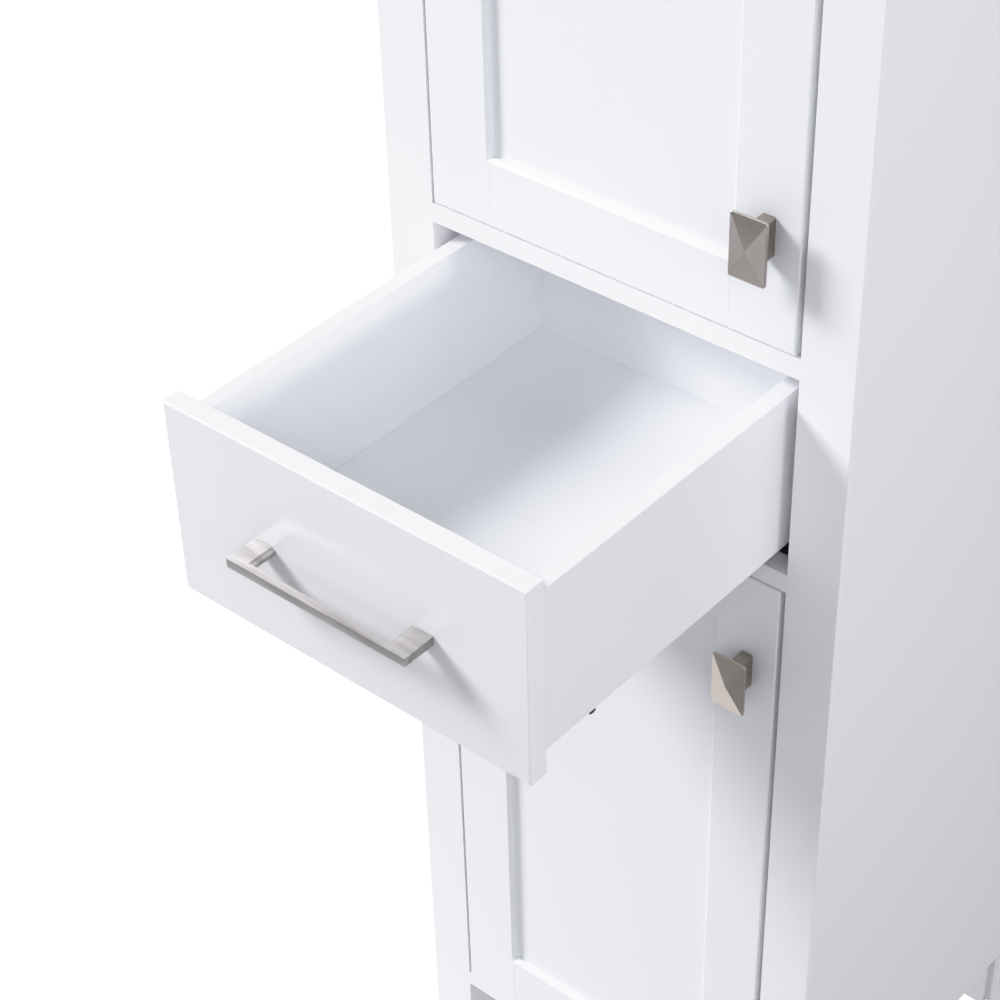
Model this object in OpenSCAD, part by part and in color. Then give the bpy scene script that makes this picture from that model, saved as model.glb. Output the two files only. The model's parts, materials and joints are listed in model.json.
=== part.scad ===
// Tall bathroom cabinet: two framed doors with a drawer between them, on four corner posts.
// Millimetres, +Z up, the front faces -Y. The drawer is drawn pulled out and the doors closed.
// The origin is on the floor, under the middle of the cabinet with its drawer pulled out.

/* [Cabinet] */
// Outer width
cabinet_w = 470; // [400:5:600]
// Depth from the face to the back
cabinet_d = 457; // [450:1:560]
// Height of the bottom board above the floor
leg_h = 100; // [60:5:150]
// Clear height of the lower cupboard
lower_opening_h = 731; // [500:1:900]
// Clear height of the drawer opening
drawer_opening_h = 192; // [180:1:260]
// Clear height of the upper cupboard
upper_opening_h = 731; // [600:1:900]
// Thickness of the top, the dividers, the bottom and the shelves
board_t = 18; // [15:1:25]
// Thickness of the side panels
side_t = 18; // [15:1:22]
// Thickness of the back panel
back_t = 6; // [4:1:12]
// Width of a corner post, seen from the front
post_w = 50; // [40:1:70]
// Depth of a corner post, seen from the side
post_d = 60; // [58:1:80]
// Radius of the eased outer edges of posts and top
post_ease = 1.5; // [0.5:0.5:4]
// Thickness of the tongue on a side panel's edges
tongue_t = 8; // [5:1:10]
// Length of that tongue
tongue_l = 8; // [5:1:12]
// Width of the rebate that holds the back panel in the rear posts
back_rebate = 10; // [6:1:16]
// Height of the wall rail
wall_rail_h = 80; // [60:1:120]
// Distance between the two wall screw holes
wall_hole_spacing = 240; // [160:10:300]
// Diameter of a wall screw hole
wall_hole_d = 5; // [4:0.5:8]
// Diameter of a leg glide
glide_d = 32; // [20:1:40]
// Thickness of a leg glide
glide_t = 4; // [3:0.5:8]
// Diameter of a carcass dowel
dowel_d = 8; // [6:1:10]
// Length of a carcass dowel
dowel_l = 30; // [20:1:40]

/* [Shelves] */
// Height of the lower shelf above the bottom board
lower_shelf_z = 350; // [200:1:450]
// Height of the low upper shelf above the upper divider
upper_shelf_low_z = 236; // [150:1:300]
// Height of the high upper shelf above the upper divider
upper_shelf_high_z = 476; // [380:1:560]
// Set-back of a shelf's front edge from the face
shelf_setback = 36; // [30:1:60]
// Gap between a shelf and the sides
shelf_gap = 1.5; // [1:0.5:4]
// Diameter of a shelf pin
pin_d = 5; // [4:0.5:7]
// Pitch of the shelf pin holes
pin_pitch = 32; // [25:1:40]
// Number of pin holes at each shelf
pin_rows = 5; // [1:2:7]
// Distance of a pin column from the post beside it
pin_inset = 37; // [25:1:60]

/* [Drawer] */
// How far the drawer is pulled out
drawer_open = 316; // [0:1:380]
// Thickness of the drawer front
front_t = 18; // [15:1:22]
// Gap at each side of the drawer front
front_side_gap = 5; // [2:0.5:8]
// Gap above the drawer front
front_top_gap = 3; // [2:0.5:8]
// Gap below the drawer front
front_bottom_gap = 4; // [2:0.5:8]
// Radius of the eased front edges of the drawer front
front_ease = 2; // [0.5:0.5:4]
// Gap between the drawer box and the posts
box_side_gap = 10; // [8:0.5:14]
// Gap above the drawer box
box_top_gap = 19; // [10:1:40]
// Height of the drawer box above the lower divider
box_lift = 20; // [18:1:26]
// Length of the drawer box
box_l = 421; // [410:1:424]
// Thickness of the drawer box sides, sub-front and back
box_t = 15; // [12:1:18]
// Thickness of the drawer bottom
bottom_t = 6; // [4:1:9]
// Recess under the drawer bottom
bottom_recess = 13; // [13:1:16]
// Depth of the groove that holds the drawer bottom
groove_d = 6; // [4:1:8]

/* [Pull] */
// Overall length of the pull
pull_l = 181; // [176:1:200]
// Spacing of the pull's screw holes
pull_spacing = 160; // [150:1:164]
// Projection from the drawer front
pull_reach = 31.3; // [25:0.1:40]
// Height of the bar
pull_h = 8; // [7:0.5:14]
// Width of a leg
pull_leg_w = 21; // [18:0.5:24]
// Thickness of the front bar
pull_bar_t = 6.5; // [4:0.5:10]

/* [Doors] */
// Thickness of a door's frame
door_t = 18; // [18:0.5:20]
// Gap between a closed door and the post on its hinge side
door_hinge_gap = 2.2; // [2:0.1:5]
// Gap between a closed door and the post on its knob side
door_free_gap = 5.5; // [3:0.5:7]
// Gap above a door
door_top_gap = 3.5; // [2:0.5:5]
// Gap below a door
door_bottom_gap = 1.5; // [1:0.5:4]
// Width of a door's stiles
stile_w = 62; // [56:1:80]
// Width of a door's rails
rail_w = 63; // [50:1:90]
// Depth of the panel below the frame's face
panel_recess = 8; // [5:0.5:9]
// Thickness of the panel
panel_t = 6; // [4:0.5:8]
// Depth of the groove that holds the panel
panel_groove = 9; // [6:1:12]
// Radius of the eased outer edges of a door
door_ease = 1.5; // [0.5:0.5:4]
// Bevel along the frame's inner edge
inner_ease = 2.6; // [0.5:0.1:4]

/* [Knobs] */
// Width of a knob's plate
knob_w = 33; // [24:0.5:45]
// Height of a knob's plate
knob_h = 55; // [40:0.5:70]
// Distance of the plate's rim from the door
knob_reach = 27; // [20:0.5:35]
// Thickness of the plate at its rim
knob_rim_t = 2.5; // [1.5:0.5:5]
// Rise of the plate's middle above its rim
knob_rise = 3.5; // [1:0.5:6]
// Radius of the plate's corners
knob_corner = 2; // [0.5:0.5:4]
// Width of the stem
stem_w = 12; // [9:0.1:16]
// Height of the stem
stem_h = 34; // [20:1:40]
// Radius of the stem's corners
stem_corner = 1.5; // [0.5:0.1:3]
// Distance of a knob's middle from the door's free edge
knob_edge = 29; // [25:0.5:50]
// Distance of the upper knob's middle from the door's lower edge
upper_knob_up = 96.5; // [70:0.5:200]
// Distance of the lower knob's middle from the door's upper edge
lower_knob_down = 97.5; // [70:0.5:200]
// Diameter of the machine screws in pull and knobs
machine_d = 4; // [3:0.5:5]

/* [Hinges] */
// Distance of a hinge from the end of its door
hinge_inset = 100; // [70:1:180]
// Diameter of the cup
cup_d = 35; // [35:1:40]
// Depth of the cup
cup_depth = 12.2; // [11.5:0.1:13]
// Wood left between the cup and the door's edge
cup_edge = 3; // [3:0.1:3.5]
// Wall of the pressed steel in cups, arms and plates
hinge_steel = 0.8; // [0.6:0.1:1.2]
// Height of the saddle of a mounting plate
saddle_h = 6; // [4:0.5:8]
// Distance of the mounting plate's screws behind the closed door
plate_back = 37; // [32:0.5:37]
// Distance between the mounting plate's two screws
plate_spacing = 32; // [28:1:36]
// Distance of the turning axis from the door's edge
pivot_edge = 9; // [8.5:0.1:9.5]
// Depth of the turning axis behind the door's face
pivot_depth = 6.5; // [6:0.1:6.5]
// Half width of an arm
arm_half = 9; // [8:0.5:10]

/* [Runners] */
// Length of a runner's rails
runner_l = 400; // [380:1:402]
// Width of a rail channel
channel_w = 22.5; // [20:0.5:24]
// Height of a rail channel
channel_h = 13; // [12:0.5:13]
// Sheet thickness of the rails
runner_steel = 1.2; // [1:0.1:1.5]
// Width of the lips that close a channel
lip_w = 7; // [5:0.5:8]
// Height of the flange that is screwed to the cabinet
flange_h = 34; // [25:1:40]
// Length of a nylon glide block
block_l = 45; // [30:1:60]
// Height of a runner cleat
cleat_h = 60; // [40:1:100]
// Diameter of the wood screws that hold the hardware
screw_d = 3.5; // [3:0.5:4.5]
// Length of those screws
screw_l = 14; // [10:1:15]

/* [Hidden] */
$fn = 48;

// Clearances: of a round fit, round a wood screw, of a piece on its seat, and of a board's edge in
// its groove
fit = 0.05;
screw_fit = 0.08;
seat = 0.3;
groove_play = 0.5;
// Steps in the arc of an eased edge
arc_steps = 4;
// How far a cutting shape runs past the surface that it opens
past = 1;

// Colours
paint = "whitesmoke";
melamine = "gainsboro";
zinc = "silver";
nickel = "darkgray";
nylon = "ivory";
wood = "burlywood";
dark = "dimgray";

// Heights above the floor
lower_open_z = leg_h + board_t;
lower_divider_z = lower_open_z + lower_opening_h;
drawer_open_z = lower_divider_z + board_t;
upper_divider_z = drawer_open_z + drawer_opening_h;
upper_open_z = upper_divider_z + board_t;
top_z = upper_open_z + upper_opening_h;

// Places across the width, from the middle
half_w = cabinet_w / 2;
cheek_x = half_w - post_w;
panel_x = half_w - side_t;

// Places along the depth, from the face, and the shift that puts the origin under the middle
back_y = cabinet_d - back_t;
rear_post_y = cabinet_d - post_d;
face_y = (drawer_open + pull_reach - cabinet_d) / 2;

// Drawer
front_w = 2 * (cheek_x - front_side_gap);
front_h = drawer_opening_h - front_top_gap - front_bottom_gap;
front_z = drawer_open_z + front_bottom_gap;
box_half = cheek_x - box_side_gap;
box_inner = box_half - box_t;
box_z = drawer_open_z + box_lift;
box_h = drawer_opening_h - box_lift - box_top_gap;
bottom_z = box_z + bottom_recess;
pull_z = front_z + front_h / 2;
pull_hole_wall = 12.5;
pull_hole_depth = pull_reach - pull_hole_wall;

// Doors
door_w = 2 * cheek_x - door_hinge_gap - door_free_gap;
door_x = (door_hinge_gap - door_free_gap) / 2;
upper_door_z = upper_open_z + door_bottom_gap;
upper_door_h = upper_opening_h - door_top_gap - door_bottom_gap;
lower_door_z = lower_open_z + door_bottom_gap;
lower_door_h = lower_opening_h - door_top_gap - door_bottom_gap;
upper_knob_z = upper_door_z + upper_knob_up;
lower_knob_z = lower_door_z + lower_door_h - lower_knob_down;
knob_x = door_w / 2 - knob_edge;

// Hinges, in a frame with x from the left cheek and y from the face
cup_x = door_hinge_gap + cup_edge + cup_d / 2;
axis_x = door_hinge_gap + pivot_edge;
axis_y = pivot_depth;
arm_pin_reach = 22.47;
arm_pin_angle = 16.3;
arm_pin_x = axis_x + arm_pin_reach * cos(arm_pin_angle);
arm_pin_y = axis_y + arm_pin_reach * sin(arm_pin_angle);
cup_pin_reach = 4.23;
cup_pin_angle = 63.1;
cup_pin_x = axis_x + cup_pin_reach * cos(cup_pin_angle);
cup_pin_y = axis_y + cup_pin_reach * sin(cup_pin_angle);
arm_pin_r = 1.5;
link_t = 1.6;
link_sag = 3.67;
link_half = 6;
plate_y = door_t + plate_back;
plate_wing_w = 14;
plate_wing_t = 2;
saddle_l = 42;
saddle_half = arm_half - hinge_steel - seat;
cup_flange_t = 1;
cup_lip = 1.5;
cup_wing_w = 13;
cup_screw_out = 22.5;
cup_screw_back = 5.5;
cup_screw_l = 11;
upper_hinge_z = [upper_door_z + hinge_inset, upper_door_z + upper_door_h - hinge_inset];
lower_hinge_z = [lower_door_z + hinge_inset, lower_door_z + lower_door_h - hinge_inset];

// Runners, in a frame with z from the top of the lower divider
channel_x = box_inner - seat - channel_w;
cabinet_rail_z = seat;
drawer_rail_z = box_lift + bottom_recess - seat - channel_h;
low_flange_z = cabinet_rail_z + channel_h / 2 - runner_steel / 2;
high_flange_z = drawer_rail_z + channel_h / 2 - runner_steel / 2;
flange_play = 1;
middle_flange_w = channel_w - 2 * (runner_steel + flange_play);
runner_y = front_t + 2;
drawer_rail_y = front_t + box_t + 2;
middle_shift = drawer_open / 2;
flange_screw_z = flange_h - 8;
cleat_screws = 3;
// Depths of a flange's screws: the first in the front post, the others in the cleat
flange_screw_y = [
    post_d / 2,
    for (i = [1:cleat_screws]) post_d + (i - 0.5) * (rear_post_y - post_d) / cleat_screws
];
block_play = 0.25;
// Places of the glide blocks along a middle rail, as shares of its length
upper_blocks = [0.02, 0.35];
lower_blocks = [0.52, 0.83];

// Points of a round corner about (cx, cy), from angle a0 to a1
function arc(cx, cy, r, a0, a1) = [
    for (i = [0:arc_steps])
        let (a = a0 + (a1 - a0) * i / arc_steps)
        [cx + r * cos(a), cy + r * sin(a)]
];

// A board's section with its two front corners eased; the front is at y = 0
function eased_front(w, t, r) = concat(
    arc(-w / 2 + r, r, r, 180, 270),
    arc(w / 2 - r, r, r, 270, 360),
    [[w / 2, t], [-w / 2, t]]
);

// Puts a thing from the cabinet's face frame into the frame of the part
module at_face() {
    translate([0, face_y, 0]) children();
}

// Puts a thing on the left (-1) or the right (1)
module on_side(side) {
    if (side < 0) {
        mirror([1, 0, 0]) children();
    } else {
        children();
    }
}

// A slab whose four front edges are eased, from (-w/2, 0, 0)
module eased_slab(w, t, h, r) {
    intersection() {
        linear_extrude(h) polygon(eased_front(w, t, r));
        translate([-w / 2, 0, h / 2])
            rotate([90, 0, 90])
                linear_extrude(w)
                    polygon([for (p = eased_front(h, t, r)) [p[1], p[0]]]);
    }
}

// A countersunk wood screw along +Y, its head's top at y = 0
module wood_screw(l, d, play = 0) {
    rotate([-90, 0, 0])
        rotate_extrude()
            polygon([
                [0, 0], [d + play, 0], [d + play, d * 0.15], [d / 2 + play, d * 0.65],
                [d / 2 + play, l - d + play], [0, l + play]
            ]);
}

// The hole that a wood screw fills
module screw_hole(l, d) {
    translate([0, -screw_fit, 0]) wood_screw(l + 2 * screw_fit, d, screw_fit);
    rotate([90, 0, 0]) cylinder(r = d + screw_fit, h = past);
}

// A pan-head machine screw along -Y, its head's seat at y = 0
module machine_screw(l) {
    rotate([90, 0, 0]) cylinder(d = machine_d, h = l);
    rotate([-90, 0, 0])
        rotate_extrude()
            difference() {
                polygon([
                    [0, 0], [machine_d, 0], [machine_d, machine_d * 0.3],
                    [machine_d * 0.7, machine_d * 0.6], [0, machine_d * 0.6]
                ]);
                translate([-past, machine_d * 0.3]) square([past + machine_d * 0.2, machine_d]);
            }
}

// Carcass

// Section of a right corner post, with the groove for the side panel's tongue in its back
function post_section() = concat(
    [[cheek_x, 0]],
    arc(half_w - post_ease, post_ease, post_ease, 270, 360),
    [
        [half_w, post_d],
        [half_w - (side_t - tongue_t) / 2, post_d],
        [half_w - (side_t - tongue_t) / 2, post_d - tongue_l - groove_play],
        [half_w - (side_t + tongue_t) / 2, post_d - tongue_l - groove_play],
        [half_w - (side_t + tongue_t) / 2, post_d],
        [cheek_x, post_d]
    ]
);

post_z = glide_t;
glide_stem_d = 6;
glide_stem_l = 16;
glide_bevel = 1.5;
dowel_y = post_d / 2;
dowel_half = dowel_l / 2;

// The four places of a divider's dowels: side and depth
dowel_places = [
    for (s = [-1, 1])
        for (y = [dowel_y, cabinet_d - dowel_y])
            [s, y]
];
divider_levels = [leg_h, lower_divider_z, upper_divider_z];

// All dowels of the carcass, or with some play the holes for them
module dowels(play) {
    for (p = dowel_places) {
        for (z = divider_levels)
            translate([p[0] * cheek_x - dowel_half - play, p[1], z + board_t / 2])
                rotate([0, 90, 0])
                    cylinder(d = dowel_d + 2 * play, h = dowel_l + 2 * play);
        translate([p[0] * (half_w - post_w / 2), p[1], top_z - dowel_half - play])
            cylinder(d = dowel_d + 2 * play, h = dowel_half + board_t / 2 + 2 * play);
    }
}

// A corner post, with the screw holes of what is mounted on the front ones
module corner_post(side, rear) {
    difference() {
        on_side(side) {
            if (rear) {
                difference() {
                    translate([0, cabinet_d, post_z])
                        mirror([0, 1, 0])
                            linear_extrude(top_z - post_z) polygon(post_section());
                    translate([cheek_x - past, back_y, leg_h])
                        cube([past + back_rebate, back_t + past, top_z - leg_h + past]);
                }
            } else {
                translate([0, 0, post_z])
                    linear_extrude(top_z - post_z) polygon(post_section());
            }
        }
        translate([side * (half_w - post_w / 2), rear ? cabinet_d - dowel_y : dowel_y, post_z - past])
            cylinder(d = glide_stem_d + 2 * fit, h = glide_stem_l + seat + past);
        dowels(fit);
        if (!rear) hardware_screw_holes();
    }
}

module front_left_post() {
    color(paint) at_face() corner_post(-1, false);
}

module front_right_post() {
    color(paint) at_face() corner_post(1, false);
}

module rear_left_post() {
    color(paint) at_face() corner_post(-1, true);
}

module rear_right_post() {
    color(paint) at_face() corner_post(1, true);
}

// Pin columns and the shelves that they carry
pin_hole_depth = 10;
pin_columns = [post_d + pin_inset, rear_post_y - pin_inset];
shelf_levels = [
    lower_open_z + lower_shelf_z,
    upper_open_z + upper_shelf_low_z,
    upper_open_z + upper_shelf_high_z
];
pin_drop = pin_d / 2;

// A side panel between the posts, tongued into both
module side_panel(side) {
    on_side(side) {
        difference() {
            union() {
                translate([panel_x, post_d, leg_h])
                    cube([side_t, rear_post_y - post_d, top_z - leg_h]);
                translate([half_w - (side_t + tongue_t) / 2, post_d - tongue_l, leg_h])
                    cube([tongue_t, rear_post_y - post_d + 2 * tongue_l, top_z - leg_h]);
            }
            for (z = shelf_levels)
                for (y = pin_columns)
                    for (i = [-(pin_rows - 1) / 2:(pin_rows - 1) / 2])
                        translate([panel_x - past, y, z - pin_drop + i * pin_pitch])
                            rotate([0, 90, 0])
                                cylinder(d = pin_d + 2 * fit, h = pin_hole_depth + past);
        }
    }
}

module left_side_panel() {
    color(paint) at_face() side_panel(-1);
}

module right_side_panel() {
    color(paint) at_face() side_panel(1);
}

// The top lies on posts and sides, its front and side edges eased
module top_panel() {
    color(paint) at_face()
        difference() {
            translate([0, 0, top_z])
                linear_extrude(board_t) polygon(eased_front(cabinet_w, cabinet_d, post_ease));
            dowels(fit);
        }
}

// Outline of a full board, notched round the corner posts
function notched_outline(front, rear, mouth, waist, notch) = [
    [-mouth, front], [mouth, front], [mouth, post_d + notch], [waist, post_d + notch],
    [waist, rear_post_y - notch], [mouth, rear_post_y - notch], [mouth, rear], [-mouth, rear],
    [-mouth, rear_post_y - notch], [-waist, rear_post_y - notch], [-waist, post_d + notch],
    [-mouth, post_d + notch]
];

module divider_board(z) {
    difference() {
        translate([0, 0, z])
            linear_extrude(board_t)
                polygon(notched_outline(0, back_y, cheek_x, panel_x, 0));
        dowels(fit);
    }
}

module upper_divider() {
    color(paint) at_face() divider_board(upper_divider_z);
}

module lower_divider() {
    color(paint) at_face() divider_board(lower_divider_z);
}

module bottom_board() {
    color(paint) at_face() divider_board(leg_h);
}

// Screw holes to the wall, through the wall rail and the back panel
module wall_holes() {
    for (s = [-1, 1])
        translate([s * wall_hole_spacing / 2, back_y - board_t - past, top_z - wall_rail_h / 2])
            rotate([-90, 0, 0])
                cylinder(d = wall_hole_d, h = board_t + back_t + 2 * past);
}

module back_panel() {
    color(melamine) at_face()
        difference() {
            translate([-cheek_x - back_rebate, back_y, leg_h])
                cube([2 * (cheek_x + back_rebate), back_t, top_z - leg_h]);
            wall_holes();
        }
}

module wall_rail() {
    color(melamine) at_face()
        difference() {
            translate([-cheek_x, back_y - board_t, top_z - wall_rail_h])
                cube([2 * cheek_x, board_t, wall_rail_h]);
            wall_holes();
        }
}

// Cleats that fill the space between side panel and runner, flush with the posts
module runner_cleats() {
    color(wood) at_face()
        difference() {
            for (s = [-1, 1])
                on_side(s)
                    translate([cheek_x, post_d, drawer_open_z])
                        cube([panel_x - cheek_x, rear_post_y - post_d, cleat_h]);
            hardware_screw_holes();
        }
}

module shelf_at(z) {
    translate([0, 0, z])
        linear_extrude(board_t)
            polygon(notched_outline(
                shelf_setback, back_y - 2 * shelf_gap, cheek_x - shelf_gap,
                panel_x - shelf_gap, shelf_gap
            ));
}

module upper_shelf_high() {
    color(melamine) at_face() shelf_at(shelf_levels[2]);
}

module upper_shelf_low() {
    color(melamine) at_face() shelf_at(shelf_levels[1]);
}

module lower_shelf() {
    color(melamine) at_face() shelf_at(shelf_levels[0]);
}

// A pin's peg sits in the side panel, and its spoon carries the shelf
pin_peg_l = 8;
pin_collar_d = 9;
pin_collar_t = 1;
pin_spoon_l = 8;
module shelf_pin() {
    translate([-pin_spoon_l, 0, 0])
        rotate([0, 90, 0])
            cylinder(d = pin_d, h = pin_spoon_l + pin_peg_l);
    difference() {
        translate([-pin_collar_t, 0, 0])
            rotate([0, 90, 0])
                cylinder(d = pin_collar_d, h = pin_collar_t);
        translate([-pin_collar_t - past, -pin_collar_d, pin_d / 2])
            cube([pin_collar_t + 2 * past, 2 * pin_collar_d, pin_collar_d]);
    }
}

module shelf_pins() {
    color(zinc) at_face()
        for (z = shelf_levels)
            for (y = pin_columns)
                for (s = [-1, 1])
                    on_side(s) translate([panel_x, y, z - pin_drop]) shelf_pin();
}

module carcass_dowels() {
    color(wood) at_face() dowels(0);
}

// A glide is pressed into the end of each post and stands on the floor
module leg_glides() {
    color(nylon) at_face()
        for (s = [-1, 1])
            for (y = [dowel_y, cabinet_d - dowel_y])
                translate([s * (half_w - post_w / 2), y, 0]) {
                    rotate_extrude()
                        polygon([
                            [0, 0], [glide_d / 2 - glide_bevel, 0], [glide_d / 2, glide_bevel],
                            [glide_d / 2, glide_t], [0, glide_t]
                        ]);
                    cylinder(d = glide_stem_d, h = glide_t + glide_stem_l);
                }
}

// Small stops on the boards, behind the free corner of each closed door
stop_w = 24;
stop_d = 12;
stop_h = 10;
module door_stops() {
    color(nylon) at_door() {
        for (z = [upper_open_z, lower_open_z])
            translate([knob_x - stop_w / 2, door_t + seat, z])
                cube([stop_w, stop_d, stop_h]);
        for (z = [top_z, lower_divider_z])
            translate([knob_x - stop_w / 2, door_t + seat, z - stop_h])
                cube([stop_w, stop_d, stop_h]);
    }
}

// Runners

// Section of a rail channel that opens upwards, from its lower outer corner
function channel_section() = [
    [0, 0], [channel_w, 0], [channel_w, channel_h], [channel_w - lip_w, channel_h],
    [channel_w - lip_w, channel_h - runner_steel],
    [channel_w - runner_steel, channel_h - runner_steel],
    [channel_w - runner_steel, runner_steel], [runner_steel, runner_steel],
    [runner_steel, channel_h - runner_steel], [lip_w, channel_h - runner_steel],
    [lip_w, channel_h], [0, channel_h]
];

// A section in x and z, drawn out along +Y
module along_y(l) {
    translate([0, l, 0]) rotate([90, 0, 0]) linear_extrude(l) children();
}

// A slot between two screws of the flange, for setting the rail before they go in
slot_w = 4.5;
slot_l = 16;
module flange_slot() {
    square([slot_l - slot_w, slot_w], center = true);
    for (s = [-1, 1])
        translate([s * (slot_l - slot_w) / 2, 0]) circle(d = slot_w);
}

// The cabinet rail's channel is folded out of the flange that is screwed to post and cleat
module cabinet_rail(side) {
    on_side(side)
        difference() {
            translate([0, runner_y, drawer_open_z + cabinet_rail_z])
                along_y(runner_l) {
                    translate([channel_x, 0]) polygon(channel_section());
                    translate([channel_x + channel_w - past, 0])
                        square([cheek_x - channel_x - channel_w + past, runner_steel]);
                    translate([cheek_x - runner_steel, 0]) square([runner_steel, flange_h]);
                }
            for (i = [1:cleat_screws])
                translate([
                    cheek_x - runner_steel - past,
                    (flange_screw_y[i - 1] + flange_screw_y[i]) / 2,
                    drawer_open_z + flange_screw_z
                ])
                    rotate([90, 0, 90])
                        linear_extrude(runner_steel + 2 * past) flange_slot();
            hardware_screw_holes();
        }
}

module left_runner_cabinet_rail() {
    color(zinc) at_face() cabinet_rail(-1);
}

module right_runner_cabinet_rail() {
    color(zinc) at_face() cabinet_rail(1);
}

// The middle rail is an I section whose flanges run in the two channels
module middle_rail(side) {
    mid_x = channel_x + channel_w / 2;
    on_side(side)
        translate([mid_x, drawer_rail_y - middle_shift, drawer_open_z])
            along_y(runner_l) {
                for (z = [low_flange_z, high_flange_z])
                    translate([-middle_flange_w / 2, z])
                        square([middle_flange_w, runner_steel]);
                translate([-runner_steel / 2, low_flange_z])
                    square([runner_steel, high_flange_z - low_flange_z + runner_steel]);
            }
}

module left_runner_middle_rail() {
    color(zinc) at_face() middle_rail(-1);
}

module right_runner_middle_rail() {
    color(zinc) at_face() middle_rail(1);
}

// A nylon block that fills a channel round the middle rail's flange
module glide_block() {
    block_w = channel_w - 2 * runner_steel - 2 * block_play;
    block_h = channel_h - 2 * runner_steel - 2 * block_play;
    mouth = channel_w - 2 * lip_w;
    along_y(block_l)
        difference() {
            square([block_w, block_h], center = true);
            square([middle_flange_w + 2 * fit, runner_steel + 2 * fit], center = true);
            translate([-runner_steel / 2 - fit, 0])
                square([runner_steel + 2 * fit, mouth + block_h]);
        }
}

// Two blocks run in the drawer rail near the middle rail's front, two in the cabinet rail
module runner_glide_blocks() {
    mid_x = channel_x + channel_w / 2;
    color(nylon) at_face()
        for (s = [-1, 1])
            on_side(s)
                translate([mid_x, drawer_rail_y - middle_shift, drawer_open_z]) {
                    for (y = upper_blocks)
                        translate([0, y * runner_l, high_flange_z + runner_steel / 2])
                            mirror([0, 0, 1]) glide_block();
                    for (y = lower_blocks)
                        translate([0, y * runner_l, low_flange_z + runner_steel / 2])
                            glide_block();
                }
}

// The hooks on the drawer rails' ends, whose pins sit in the drawer's back
hook_w = 14;
hook_pin_d = 6;
hook_pin_l = 8;
hook_x = channel_x + channel_w / 2;
hook_y = front_t + box_l + seat;
hook_z = bottom_z + bottom_t + 12;

// The drawer rail is a channel that opens downwards, under the drawer bottom, and ends in a hook
module drawer_rail(side) {
    rail_top = drawer_open_z + drawer_rail_z + channel_h;
    hook_reach = max(hook_y + runner_steel - drawer_rail_y, runner_l);
    on_side(side)
        translate([hook_x, -drawer_open, 0]) {
            translate([-channel_w / 2, drawer_rail_y, rail_top])
                along_y(runner_l) mirror([0, 1]) polygon(channel_section());
            translate([-hook_w / 2, drawer_rail_y + runner_l - past, rail_top - runner_steel])
                cube([hook_w, hook_reach - runner_l + past, runner_steel]);
            translate([-hook_w / 2, hook_y, rail_top - runner_steel])
                cube([hook_w, runner_steel, hook_z + hook_w / 2 - rail_top + runner_steel]);
            translate([0, hook_y + runner_steel / 2, hook_z])
                rotate([90, 0, 0])
                    cylinder(d = hook_pin_d, h = hook_pin_l + seat + runner_steel / 2);
        }
}

module left_runner_drawer_rail() {
    color(zinc) at_face() drawer_rail(-1);
}

module right_runner_drawer_rail() {
    color(zinc) at_face() drawer_rail(1);
}

// A clip behind the sub-front locks the drawer to the rail; its release tip shows at the side
clip_w = 24;
clip_l = 52;
clip_h = 11;
clip_bevel = 4;
clip_lead = 1;
tip_y = 40;
tip_nose = 0.8;
tip_l = 7;
tip_h = 2.2;
module runner_clips() {
    color(dark) at_face()
        for (s = [-1, 1])
            on_side(s)
                translate([0, drawer_rail_y - drawer_open, 0]) {
                    translate([channel_x - seat - clip_w, -clip_lead, bottom_z - seat - clip_h])
                        along_y(clip_l)
                            polygon([
                                [0, clip_bevel], [clip_bevel, 0], [clip_w, 0], [clip_w, clip_h],
                                [0, clip_h]
                            ]);
                    translate([box_inner, tip_y, box_z - fit - tip_h])
                        linear_extrude(tip_h)
                            polygon([
                                [0, 0], [box_t, 0], [box_t + tip_nose, tip_l / 2], [box_t, tip_l],
                                [0, tip_l]
                            ]);
                }
}

// Drawer

module in_drawer() {
    at_face() translate([0, -drawer_open, 0]) children();
}

screw_end = 2;
pull_screw_l = front_t + box_t + pull_hole_depth - screw_end;
front_screw_inset = 40;
front_screw_x = front_w / 2 - front_screw_inset;
front_screw_l = box_t + front_t - 2 * screw_end;
front_screw_z = [box_z + front_screw_inset, box_z + box_h - front_screw_inset / 2];

// The screws that hold the drawer front to the sub-front
module front_screw_places() {
    for (s = [-1, 1])
        for (z = front_screw_z)
            translate([s * front_screw_x, front_t + box_t, z])
                rotate([0, 0, 180])
                    children();
}

module pull_holes() {
    for (s = [-1, 1])
        translate([s * pull_spacing / 2, front_t + box_t + past, pull_z])
            rotate([90, 0, 0])
                cylinder(d = machine_d + 1, h = front_t + box_t + 2 * past);
}

module drawer_front() {
    color(paint) in_drawer()
        difference() {
            translate([0, 0, front_z]) eased_slab(front_w, front_t, front_h, front_ease);
            pull_holes();
            front_screw_places() screw_hole(front_screw_l, screw_d);
        }
}

module drawer_sub_front() {
    color(melamine) in_drawer()
        difference() {
            translate([-box_inner, front_t, box_z]) cube([2 * box_inner, box_t, box_h]);
            translate([-box_inner - past, front_t + box_t - groove_d, bottom_z])
                cube([2 * (box_inner + past), groove_d + past, bottom_t]);
            pull_holes();
            front_screw_places() screw_hole(front_screw_l, screw_d);
        }
}

module drawer_side(side) {
    on_side(side)
        difference() {
            translate([box_inner, front_t, box_z]) cube([box_t, box_l, box_h]);
            translate([box_inner - past, front_t + box_t - groove_d, bottom_z])
                cube([past + groove_d, box_l, bottom_t]);
        }
}

module drawer_left_side() {
    color(melamine) in_drawer() drawer_side(-1);
}

module drawer_right_side() {
    color(melamine) in_drawer() drawer_side(1);
}

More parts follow.
